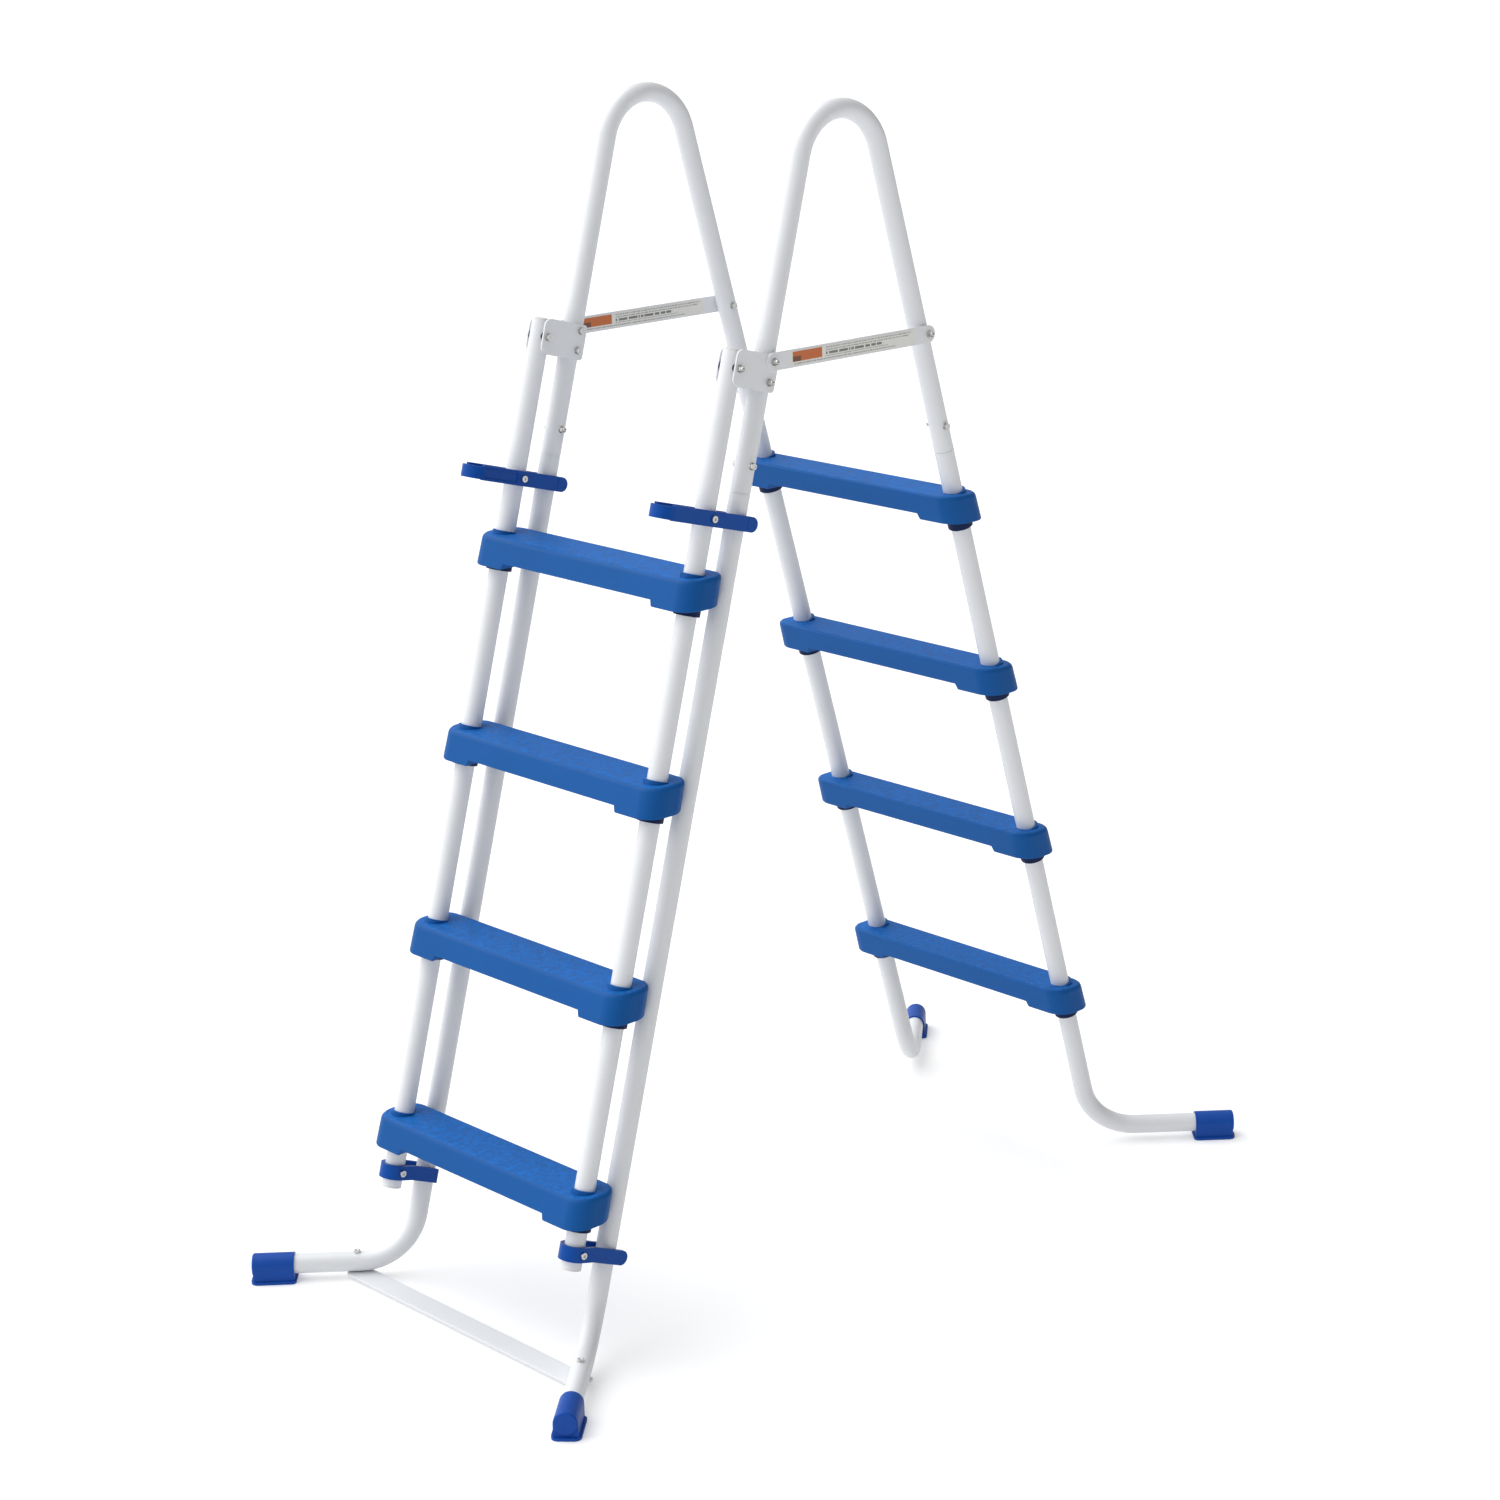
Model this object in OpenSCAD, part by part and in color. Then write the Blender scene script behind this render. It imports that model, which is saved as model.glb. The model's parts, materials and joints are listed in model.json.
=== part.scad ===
// Free-standing pool ladder. Two bent-tube side frames carry a fixed inner flight of steps; the outer
// flight sits on its own pair of rails, swings up on two pivots and is held to the legs by two latches.
// Millimetres, Z up, floor at z = 0, centred on x = 0 and y = 0, outer flight toward -Y.

/* [Frame] */
// overall height, floor to the top of the handrail arches
overall_h = 1882; // [1600:1:2260]
// distance between the two side frames, tube centre to tube centre
frame_w = 448; // [370:1:540]
// lean of every leg from upright, degrees
lean = 15.7; // [14:0.1:17]
// outside diameter of the frame and rail tubes
tube_od = 32; // [27:0.5:38]
// wall thickness of the tubes
tube_wall = 1.6; // [1.2:0.1:2]
// centre-line radius of the handrail arch
arch_r = 86; // [72:1:104]
// straight length of handrail below the arch
handrail_run = 519; // [450:1:620]
// length of the reduced leg top inside the handrail
swage_len = 80; // [60:1:100]
// distance of the joint bolt above the end of the handrail
joint_up = 43; // [25:1:50]

/* [Feet] */
// angle the feet turn outward from straight fore-and-aft, degrees
splay = 42; // [30:1:55]
// length of a foot from the leg line to its closed end
foot_len = 250; // [210:1:305]
// centre-line radius of the bend from leg to foot
bend_r = 95; // [80:1:105]
// height of the foot tube above the floor
foot_lift = 10; // [8:0.5:14]
// length of the foot cap
cap_len = 68; // [50:1:80]
// wall of the foot cap around the tube
cap_wall = 3; // [2:0.5:4]
// width of the flat sole under the foot cap
sole_w = 46; // [40:1:60]
// thickness of the sole
sole_t = 4; // [3:0.5:8]

/* [Crossbar] */
// distance of the crossbar bolts along the foot from the leg line
crossbar_run = 84; // [80:1:110]
// width of the flat crossbar
crossbar_w = 38; // [36:1:70]
// crossbar beyond its bolts
crossbar_over = 8; // [6:1:14]
// thickness of the crossbar
crossbar_t = 4; // [3:0.5:5]

/* [Swing pivot] */
// distance of the step rails in front of the outer legs, centre to centre
rail_gap = 65; // [58:1:80]
// distance of the pivot below the arch, along the handrail
pivot_run = 335; // [290:1:400]
// thickness of the bracket plates and straps
plate_t = 3; // [2:0.5:4]
// gap between tube and bracket plate
plate_gap = 1.5; // [1:0.1:3]
// height of the bracket plates along the leg
bracket_h = 57; // [52:1:70]
// height of the bracket above the pivot
bracket_up = 30; // [28:1:36]
// corner radius at the front of the bracket
bracket_r = 12; // [6:1:16]
// width of the straps
strap_w = 28; // [22:1:34]
// height of the sticker on the strap
label_h = 23; // [14:1:26]

/* [Step section] */
// length of rail above the pivot
rail_over = 26; // [20:1:30]
// height of the rail ends above the floor
rail_end_h = 166; // [150:1:175]
// top of the highest outer step below the pivot
top_step_drop = 305; // [290:1:340]
// height of the lowest outer step
low_step_h = 281; // [265:1:300]
// how much higher each inner step is than the outer one
inner_step_up = 37; // [0:1:60]
// tread in front of the tube line
step_front = 35; // [30:1:45]
// gap between the back of an outer step and the leg behind it
leg_gap = 6; // [5:0.5:10]
// length of step beyond the tube centres
step_over = 34; // [28:1:45]
// height of the step between the tubes
step_h = 37; // [32:1:45]
// extra depth of the step at the tubes
step_drop = 10; // [6:1:14]
// rounding of the step's top edges
step_round = 7; // [3:1:10]

/* [Latches and clips] */
// distance of the latch bolt below the pivot
latch_run = 228; // [180:1:240]
// height of the latch
latch_h = 24; // [22:1:30]
// reach of the latch in front of the rail
latch_reach = 103; // [80:1:104]
// length of the thinner nose of the latch
nose_len = 20; // [12:1:30]
// height of the lower clip
clip_h = 23; // [16:1:24]
// how far the lower clip's arms slope down to their tips
clip_slope = 8; // [0:1:12]
// how much shorter the lower clip's inner arm is
clip_short = 18; // [0:1:24]
// height of the lower clip's screw above the rail end
clip_up = 24; // [20:1:34]

/* [Hardware] */
// diameter of the frame bolts
bolt_d = 6; // [5:1:8]
// diameter of the step and clip screws
screw_d = 5; // [4:0.5:6]

/* [Hidden] */
$fn = 48;

white = [0.93, 0.94, 0.95];
blue = [0.13, 0.38, 0.7];
dark_blue = [0.03, 0.24, 0.55];
navy = [0.06, 0.11, 0.24];
steel = [0.72, 0.73, 0.75];

sides = [-1, 1];
steps = [0, 1, 2, 3];
eps = 0.01;
fit = 0.05;          // clearance between pieces fixed to each other
running_fit = 0.08;  // radial clearance of a turning joint
arm_gap = 1;         // latch or clip arm to tube

// tube and leg line; "run" values are distances down a leg from the apex where both leg lines meet
tube_r = tube_od / 2;
bore_r = tube_r - tube_wall;
side_x = frame_w / 2;
sl = sin(lean);
cl = cos(lean);
tl = tan(lean);
apex_h = overall_h - tube_r - arch_r + arch_r / sl;
arch_run = arch_r / tl;
arch_h = apex_h - arch_r / sl;  // centre of the arch
pivot_s = arch_run + pivot_run;
handrail_s = arch_run + handrail_run;
joint_s = handrail_s - joint_up;
latch_s = pivot_s + latch_run;
rail_top_s = pivot_s - rail_over;
rail_end_s = line_s(rail_end_h, rail_gap);
clip_s = rail_end_s - clip_up;

hairline = 0.005;     // left between the straight and bent stretches of a tube, which are solids of their own

// swaged leg top
shoulder_len = 4;
joint_gap = 0.6;      // between the handrail's end and the shoulder
swage_r = bore_r - 0.1;
swage_bore_r = swage_r - tube_wall;

// foot: knee is where leg line and foot line cross, the bend is tangent to both
foot_h = foot_lift + tube_r;
knee_s = line_s(foot_h, 0);
knee = [side_x, line_y(foot_h, 0), foot_h];
foot_dir = [sin(splay), -cos(splay), 0];
bend_turn = acos(cos(splay) * sl);
bend_len = bend_r * tan(bend_turn / 2);
bend_heading = atan2(-cos(splay) * cl, sin(splay));  // of the bend, seen along the leg
cap_r = tube_r + cap_wall;
cap_end = 3;
nut_lift = 1.2;  // crossbar nuts above the floor

// brackets, washers and straps, measured sideways from the tube centre
plate_in = tube_r + plate_gap;
plate_out = plate_in + plate_t;
strap_out = plate_out + plate_t;
bracket_back = 13;
bracket_front = rail_gap + 9;
bracket_bolt_s = [pivot_s - 20, pivot_s + 12];
strap_s = bracket_bolt_s[0];
strap_y = strap_s * sl;
strap_z = apex_h - strap_s * cl;
label_len = 2 * strap_y - 66;
label_t = 0.5;
washer_t = 1.5;
washer_r = bolt_d;
bolt_r = bolt_d / 2;
hole_r = bolt_r + 0.15;
head_h = bolt_d * 0.66;
head_af = bolt_d * 1.62;
nut_h = bolt_d * 0.8;
thread_out = nut_h + 1;

// pivot bush in the rail
bush_flange_r = 9;
bush_flange_gap = 0.2;
bush_barrel_r = bolt_r + 2;

// steps
rise = (pivot_z() - top_step_drop - low_step_h) / (len(steps) - 1);
step_back = (rail_gap - tube_r) / cl - leg_gap;
step_r = 32;
step_draft = 1;
step_drop_run = 48;
notch_run = 5;
pockets = 6;
pocket_wall = 4;
collar_r = tube_r + 4.5;
collar_top = 14;      // top of the bush below the tread
collar_len = (step_h + step_drop + 12) / cl;
lip_up = 2;           // moulded ring around the tube, above the tread
screw_r = screw_d / 2;
screw_head_r = screw_d * 0.8;
screw_head_h = screw_d * 0.55;
step_screw_down = 30;
screw_sink = 6;

// latches and clips
arm_in = tube_r + arm_gap;
arm_t = 6;
arm_out = arm_in + arm_t;
clip_in = tube_r + 0.6;
clip_out = clip_in + arm_t;
tip_past = 11;
thumb_depth = 1.5;
thumb_end = 14;       // end of the thumb panel in front of the latch bolt
nose_cut = [3, 1];    // nose below the top and above the bottom of the latch
pan_r = 5.5;
pan_h = 3;
pan_socket_r = 2;
latch_seat = arm_out + 0.2;  // latch bolt heads stand clear of the turning arms

// run down the leg, or y, of a line parallel to an outer leg and n in front of it, at height z
function line_s(z, n) = (apex_h + n * sl - z) / cl;
function line_y(z, n) = -(apex_h - z) * tl - n / cl;
function pivot_z() = apex_h - pivot_s * cl + rail_gap * sl;
function outer_step_z(i) = low_step_h + rise * i;
function inner_step_z(i) = outer_step_z(i) + inner_step_up;

// ---------- helpers ----------

// children drawn at the apex with +z up the leg and -y to its front; flip selects the inner ladder
module on_leg(side, flip = 0, n = 0, s = 0)
  mirror([0, flip, 0]) translate([side * side_x, 0, apex_h]) rotate([-lean, 0, 0]) translate([0, -n, -s]) children();

module pipe(r_out, r_in, s0, s1)
  translate([0, 0, -s1]) difference() {
    cylinder(r = r_out, h = s1 - s0);
    translate([0, 0, -1]) cylinder(r = r_in, h = s1 - s0 + 2);
  }

module ring(r_out, r_in) difference() { circle(r_out); circle(r_in); }

// bent tube about the z axis, from angle a0 through turn
module bend(r, a0, turn) {
  gap = hairline / r * 180 / PI;
  rotate_extrude(angle = turn - 2 * gap, start = a0 + gap) translate([r, 0]) ring(tube_r, bore_r);
}

// cylinder along x, from x0 to x1
module xcyl(r, x0, x1) translate([x0, 0, 0]) rotate([0, 90, 0]) cylinder(r = r, h = x1 - x0);

// hexagonal prism along x
module xhex(af, x0, x1) translate([x0, 0, 0]) rotate([0, 90, 0]) cylinder(r = af / sqrt(3), h = x1 - x0, $fn = 6);

// plate drawn in the y-z plane, from x0 to x1
module yz_plate(x0, x1) translate([x0, 0, 0]) rotate([90, 0, 90]) linear_extrude(x1 - x0) children();

module rounded(x0, y0, x1, y1, r0, r1) {
  translate([x0 + r0, y0]) square([x1 - r1 - x0 - r0, y1 - y0]);
  translate([x0, y0 + r0]) square([r0, y1 - y0 - 2 * r0]);
  translate([x1 - r1, y0 + r1]) square([r1, y1 - y0 - 2 * r1]);
  for (y = [y0 + r0, y1 - r0]) translate([x0 + r0, y]) circle(r0);
  for (y = [y0 + r1, y1 - r1]) translate([x1 - r1, y]) circle(r1);
}

// bolt along x whose head seats at x0 and whose thread ends at x1
module hex_bolt(x0, x1) {
  d = x1 > x0 ? 1 : -1;
  mirror([d > 0 ? 0 : 1, 0, 0]) difference() {
    union() {
      xhex(head_af, d * x0 - head_h, d * x0);
      xcyl(bolt_r, d * x0 - eps, d * x1);
    }
    xcyl(head_af / 4, d * x0 - head_h - 1, d * x0 - head_h + 0.6);
  }
}

// closed dome nut seated at x0 and pointing along d
module cap_nut(x0, d) mirror([d > 0 ? 0 : 1, 0, 0]) difference() {
  union() {
    xhex(head_af, d * x0, d * x0 + nut_h);
    translate([d * x0 + nut_h, 0, 0]) sphere(r = head_af / 2 - 0.8);
  }
  xcyl(bolt_r + fit, d * x0 - 1, d * x0 + thread_out + fit);
}

module washer(x0, d) {
  a = d > 0 ? x0 : x0 - washer_t;
  difference() {
    xcyl(washer_r, a, a + washer_t);
    xcyl(hole_r, a - 1, a + washer_t + 1);
  }
}

// washer with one face cut to the tube, the other flat at distance x from the tube centre
module saddle(x, r, bore = hole_r) difference() {
  a = x > 0 ? tube_r * 0.8 : x;
  xcyl(r, a, x > 0 ? x : -tube_r * 0.8);
  xcyl(bore, a - 1, a + abs(x));
  translate([0, 0, -tube_r]) cylinder(r = tube_r, h = tube_od);
}

// ---------- side frames ----------

module leg_holes(flip) {
  translate([0, 0, -joint_s]) xcyl(hole_r, -tube_od, tube_od);
  if (flip == 1) for (i = steps) translate([0, 0, -line_s(inner_step_z(i), 0) - step_screw_down])
    rotate([90, 0, 0]) cylinder(r = screw_r + fit, h = tube_od);
}

// tube whose top end is reduced to enter the handrail, standing on z = 0
module leg_tube(len) rotate_extrude() polygon([[bore_r, 0], [tube_r, 0], [tube_r, len], [swage_r, len],
  [swage_r, len + swage_len], [swage_bore_r, len + swage_len], [swage_bore_r, len - shoulder_len],
  [bore_r, len - shoulder_len]]);

// bend and foot hanging from z = 0 and turning toward +x
module leg_bend() translate([bend_r, 0, 0]) {
  rotate([90, 0, 0]) bend(bend_r, 180, bend_turn);
  rotate([0, -bend_turn, 0]) translate([-bend_r, 0, 0]) pipe(tube_r, bore_r, 0, foot_len - bend_len);
}

// children drawn at the knee with +x along the foot
module on_foot() translate(knee) rotate([0, 0, splay - 90]) children();

module leg(side, flip) color(white)
  mirror([side > 0 ? 0 : 1, 0, 0]) mirror([0, flip, 0]) difference() {
    on_leg(1, 0, 0, knee_s - bend_len) {
      leg_tube(knee_s - bend_len - handrail_s - joint_gap);
      rotate([0, 0, bend_heading]) leg_bend();
    }
    on_leg(1) leg_holes(flip);
    if (flip == 0) on_foot() translate([crossbar_run, 0, -tube_od]) cylinder(r = hole_r, h = 2 * tube_od);
  }

module handrail(side) color(white) translate([side * side_x, 0, 0]) difference() {
  translate([0, 0, arch_h]) {
    rotate([90, 0, 90]) bend(arch_r, lean, 180 - 2 * lean);
    for (flip = [0, 1]) mirror([0, flip, 0]) rotate([-lean, 0, 0]) translate([0, -arch_r, 0])
      pipe(tube_r, bore_r, 0, handrail_run);
  }
  for (s = concat(bracket_bolt_s, [joint_s])) rail_hole(s, 0);
  for (s = [strap_s, joint_s]) rail_hole(s, 1);
}

module rail_hole(s, flip) mirror([0, flip, 0]) translate([0, 0, apex_h]) rotate([-lean, 0, 0])
  translate([0, 0, -s]) xcyl(hole_r, -tube_od, tube_od);

module bracket(side, out) color(white) {
  d = side * out;
  x0 = d > 0 ? plate_in : -plate_out;
  on_leg(side, 0, 0, pivot_s) difference() {
    yz_plate(x0, x0 + plate_t)
      rounded(-bracket_front, bracket_up - bracket_h, bracket_back, bracket_up, bracket_r, bracket_r / 2);
    for (s = bracket_bolt_s) translate([0, 0, pivot_s - s]) xcyl(hole_r, -strap_out, strap_out);
    translate([0, -rail_gap, 0]) xcyl(hole_r, -strap_out, strap_out);
  }
}

module strap(side) color(white) {
  x0 = side > 0 ? plate_out : -strap_out;
  translate([side * side_x, 0, strap_z]) difference() {
    yz_plate(x0, x0 + plate_t) {
      translate([-strap_y, -strap_w / 2]) square([2 * strap_y, strap_w]);
      for (y = [-strap_y, strap_y]) translate([y, 0]) circle(strap_w / 2);
    }
    for (y = [-strap_y, strap_y]) translate([0, y, 0]) xcyl(hole_r, -2 * strap_out, 2 * strap_out);
  }
}

module strap_label(side) color(white) {
  x0 = side > 0 ? strap_out : -plate_out;
  translate([side * side_x, 0, strap_z]) yz_plate(x0, x0 + label_t)
    rounded(-label_len / 2, -label_h / 2, label_len / 2, label_h / 2, 3, 3);
}

module crossbar() color(white) {
  p = knee + crossbar_run * foot_dir;
  end = p[0] + crossbar_over;
  difference() {
    translate([0, p[1], foot_lift - crossbar_t]) linear_extrude(crossbar_t)
      rounded(-end, -crossbar_w / 2, end, crossbar_w / 2, 6, 6);
    for (side = sides) translate([side * p[0], p[1], 0]) cylinder(r = hole_r, h = foot_h);
  }
}

// children drawn standing up at the crossbar bolt, +x up
module at_crossbar_bolt() for (side = sides)
  mirror([side > 0 ? 0 : 1, 0, 0]) translate([(knee + crossbar_run * foot_dir)[0],
    (knee + crossbar_run * foot_dir)[1], foot_h]) rotate([0, -90, 0]) children();

module crossbar_bolts() color(steel) at_crossbar_bolt() hex_bolt(tube_r, nut_lift - foot_h);

module crossbar_nuts() color(steel) at_crossbar_bolt() difference() {
  xhex(head_af, nut_lift - foot_h, foot_lift - crossbar_t - foot_h);
  xcyl(bolt_r + fit, -foot_h, 0);
}

module foot_cap(side, flip) color(dark_blue)
  mirror([side > 0 ? 0 : 1, 0, 0]) mirror([0, flip, 0]) on_foot() difference() {
    union() {
      xcyl(cap_r, foot_len - cap_len + cap_end, foot_len);
      translate([foot_len, 0, 0]) rotate([0, 90, 0]) rotate_extrude()
        polygon([[0, 0], [cap_r, 0], [cap_r - 0.8, cap_end * 0.6], [cap_r - 3, cap_end], [0, cap_end]]);
      translate([foot_len - cap_len + cap_end, -cap_r, -foot_h + 1]) cube([cap_len - cap_end, 2 * cap_r, foot_h - 1]);
      translate([0, 0, -foot_h]) linear_extrude(sole_t)
        rounded(foot_len - cap_len, -sole_w / 2, foot_len + cap_end + 2, sole_w / 2, 8, 12);
    }
    xcyl(tube_r + fit, foot_len - cap_len - 1, foot_len);
  }

// ---------- frame hardware ----------

module on_joints() for (side = sides, flip = [0, 1])
  on_leg(side, flip, 0, joint_s) mirror([side > 0 ? 0 : 1, 0, 0]) children();

// children with +x pointing away from the ladder's middle
module on_bracket_bolts() for (side = sides, s = bracket_bolt_s)
  on_leg(side, 0, 0, s) mirror([side > 0 ? 0 : 1, 0, 0]) children();
module on_pivots() for (side = sides)
  on_leg(side, 0, rail_gap, pivot_s) mirror([side > 0 ? 0 : 1, 0, 0]) children();
module on_strap_bolts() for (side = sides)
  on_leg(side, 1, 0, strap_s) mirror([side > 0 ? 0 : 1, 0, 0]) children();

module joint_bolts() color(steel) on_joints() hex_bolt(plate_in, -plate_in - thread_out);
module joint_nuts() color(steel) on_joints() cap_nut(-plate_in, -1);

module bracket_bolts() color(steel) for (side = sides, k = [0, 1])
  on_leg(side, 0, 0, bracket_bolt_s[k]) mirror([side > 0 ? 0 : 1, 0, 0])
    hex_bolt(-plate_out - washer_t, bracket_nut_x(k) + thread_out);
module bracket_nuts() color(steel) for (side = sides, k = [0, 1])
  on_leg(side, 0, 0, bracket_bolt_s[k]) mirror([side > 0 ? 0 : 1, 0, 0]) cap_nut(bracket_nut_x(k), 1);
function bracket_nut_x(k) = (k == 0 ? strap_out : plate_out) + washer_t;

module pivot_bolts() color(steel) on_pivots() hex_bolt(-plate_out - washer_t, plate_out + washer_t + thread_out);
module pivot_nuts() color(steel) on_pivots() cap_nut(plate_out + washer_t, 1);

module strap_bolts() color(steel) on_strap_bolts() hex_bolt(-plate_in, strap_out + washer_t + thread_out);
module strap_nuts() color(steel) on_strap_bolts() cap_nut(strap_out + washer_t, 1);
module strap_spacers() color(white) on_strap_bolts() saddle(plate_out, washer_r);

module saddle_washers() color(steel) {
  on_bracket_bolts() for (x = [-plate_in, plate_in]) saddle(x, bush_flange_r);
  on_joints() for (x = [-plate_in, plate_in]) saddle(x, washer_r);
  on_strap_bolts() saddle(-plate_in, washer_r);
}

module flat_washers() color(steel) {
  on_bracket_bolts() washer(-plate_out, -1);
  for (side = sides, k = [0, 1]) on_leg(side, 0, 0, bracket_bolt_s[k]) mirror([side > 0 ? 0 : 1, 0, 0])
    washer(k == 0 ? strap_out : plate_out, 1);
  on_pivots() for (d = sides) washer(d * plate_out, d);
  on_strap_bolts() washer(strap_out, 1);
}

// ---------- steps ----------

// one moulded tread, its top at height z, on tubes n in front of the outer legs
module tread_shape(z, n) {
  y = line_y(z, n);
  half = side_x + step_over;
  layers = concat([for (a = [0:30:90]) [step_round * (1 - cos(a)), step_round * (1 - sin(a))]],
    [[step_h + step_drop - 1.5, -step_draft], [step_h + step_drop, 0]]);
  difference() {
    union() {
      hull() for (l = layers, x = [step_r - half, half - step_r], dy = [step_r - step_front, step_back - step_r])
        translate([x, y - l[0] * tl + dy, z - l[0] - eps]) cylinder(r = step_r - l[1], h = eps, $fn = 32);
      for (side = sides) on_leg(side, 0, n, line_s(z, n)) translate([0, 0, -collar_top])
        cylinder(r = collar_r, h = collar_top + lip_up);
    }
    translate([0, y, z - step_h]) step_notch();
    for (i = [0:pockets - 1]) pocket(i, y, z);
    for (side = sides) on_leg(side, 0, n, line_s(z, n)) {
      translate([0, 0, -3 * step_h]) cylinder(r = tube_r + fit, h = 4 * step_h);
      translate([0, 0, -3 * step_h]) cylinder(r = collar_r + fit, h = 3 * step_h - collar_top + fit);
      step_screw_cut(n > 0 ? -1 : 1);
    }
  }
}

module step_notch() {
  a = side_x - step_drop_run;
  deep = step_drop + 2;
  translate([0, 3 * step_front, 0]) rotate([90, 0, 0]) linear_extrude(6 * step_front)
    polygon([[-a, 0], [a, 0], [a + notch_run, -deep], [-a - notch_run, -deep]]);
}

// moulded hollow under the tread
module pocket(i, y, z) {
  run = 2 * (side_x - step_drop_run - pocket_wall) / pockets;
  depth = step_h - pocket_wall - 1;
  x0 = (i - pockets / 2) * run + pocket_wall / 2;
  shift = step_h * tl;
  translate([0, y - shift, z - step_h]) yz_plate(x0, x0 + run - pocket_wall) polygon([
    [pocket_wall + 1 - step_front, -1], [step_back - pocket_wall - 1, -1],
    [step_back - pocket_wall - 1 + depth * tl, depth], [pocket_wall + 1 - step_front + depth * tl, depth]]);
}

// screws enter from the pool side, whichever side of the tube that is
function screw_face(d) = (d > 0 ? step_front : step_back) * cl - screw_sink;
module step_screw_cut(d) translate([0, 0, -step_screw_down]) rotate([90 * d, 0, 0]) {
  cylinder(r = screw_r + fit, h = 2 * step_front);
  translate([0, 0, screw_face(d)]) cylinder(r = screw_head_r + 0.6, h = 2 * step_front);
}
module step_screw(d) translate([0, 0, -step_screw_down]) rotate([90 * d, 0, 0]) difference() {
  union() {
    translate([0, 0, tube_r - 5]) cylinder(r = screw_r, h = screw_face(d) - tube_r + 5);
    translate([0, 0, screw_face(d)]) cylinder(r = screw_head_r, h = screw_head_h);
  }
  translate([0, 0, screw_face(d) + screw_head_h / 2]) cylinder(r = screw_head_r / 2, h = screw_head_h, $fn = 6);
}

module collar(d) difference() {
  translate([0, 0, -collar_len]) cylinder(r = collar_r, h = collar_len - collar_top);
  translate([0, 0, -3 * step_h]) cylinder(r = tube_r + fit, h = 4 * step_h);
  translate([0, 0, -step_screw_down]) rotate([90 * d, 0, 0]) cylinder(r = screw_r + fit, h = 2 * step_front);
}

module outer_step(i) color(blue) tread_shape(outer_step_z(i), rail_gap);
module inner_step(i) color(blue) mirror([0, 1, 0]) tread_shape(inner_step_z(i), 0);

module on_outer_steps() for (side = sides, i = steps)
  on_leg(side, 0, rail_gap, line_s(outer_step_z(i), rail_gap)) children();
module on_inner_steps() for (side = sides, i = steps) on_leg(side, 1, 0, line_s(inner_step_z(i), 0)) children();

module outer_step_bushes() color(navy) on_outer_steps() collar(-1);
module inner_step_bushes() color(navy) on_inner_steps() collar(1);
module outer_step_screws() color(steel) on_outer_steps() step_screw(-1);
module inner_step_screws() color(steel) on_inner_steps() step_screw(1);

// ---------- swinging section ----------

module step_rail(side) color(white) on_leg(side, 0, rail_gap) difference() {
  pipe(tube_r, bore_r, rail_top_s, rail_end_s);
  translate([0, 0, -pivot_s]) xcyl(bush_barrel_r + fit, -tube_od, tube_od);
  translate([0, 0, -latch_s]) xcyl(hole_r, -tube_od, tube_od);
  translate([0, 0, -clip_s]) xcyl(screw_r + fit, -tube_od, tube_od);
  for (i = steps) translate([0, 0, -line_s(outer_step_z(i), rail_gap) - step_screw_down])
    rotate([-90, 0, 0]) cylinder(r = screw_r + fit, h = tube_od);
}

module plug() {
  cylinder(r = tube_r, h = 3);
  translate([0, 0, -12]) cylinder(r = bore_r - fit, h = 12 + eps);
}
module rail_top_plugs() color(white) for (side = sides) on_leg(side, 0, rail_gap, rail_top_s) plug();
module rail_end_plugs() color(white) for (side = sides) on_leg(side, 0, rail_gap, rail_end_s) mirror([0, 0, 1]) plug();

module pivot_bushes() color(navy) on_pivots() for (d = sides) mirror([d > 0 ? 0 : 1, 0, 0]) {
  difference() {
    union() {
      saddle(plate_in - bush_flange_gap, bush_flange_r, bolt_r + running_fit);
      xcyl(bush_barrel_r, bore_r - 3, plate_in - bush_flange_gap);
    }
    xcyl(bolt_r + running_fit, 0, plate_out);
  }
}

// U-shaped strip around a tube: closed end at -y0, arms back to y1 and sloping down, rounded tips
module u_strip(r_in, r_out, y0, y1, h, slope = 0) intersection() {
  translate([0, 0, -h / 2 - slope]) linear_extrude(h + slope) difference() {
    union() {
      translate([0, -y0]) circle(r_out);
      translate([-r_out, -y0]) square([2 * r_out, y0 + y1]);
    }
    translate([0, -y0]) circle(r_in);
    translate([-r_in, -y0]) square([2 * r_in, y0 + y1 + 1]);
  }
  yz_plate(-2 * r_out, 2 * r_out) {
    polygon([[-y0 - r_out - 1, -h / 2], [r_out, -h / 2], [y1 - h / 2, -h / 2 - slope],
      [y1 - h / 2, h / 2 - slope], [r_out, h / 2], [-y0 - r_out - 1, h / 2]]);
    translate([y1 - h / 2, -slope]) circle(h / 2);
  }
}

// children with +x pointing away from the ladder's middle
module outward(side) mirror([side > 0 ? 0 : 1, 0, 0]) children();

module lower_clip(side) color(dark_blue) on_leg(side, 0, rail_gap, clip_s) outward(side) difference() {
  tip = rail_gap + tube_r + tip_past;
  u_strip(clip_in, clip_out, 0, tip, clip_h, clip_slope);
  xcyl(screw_r + fit, -2 * clip_out, 2 * clip_out);
  translate([-2 * clip_out, tip - clip_short, -clip_h * 2]) cube([2 * clip_out, clip_short + 1, clip_h * 4]);
}

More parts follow.
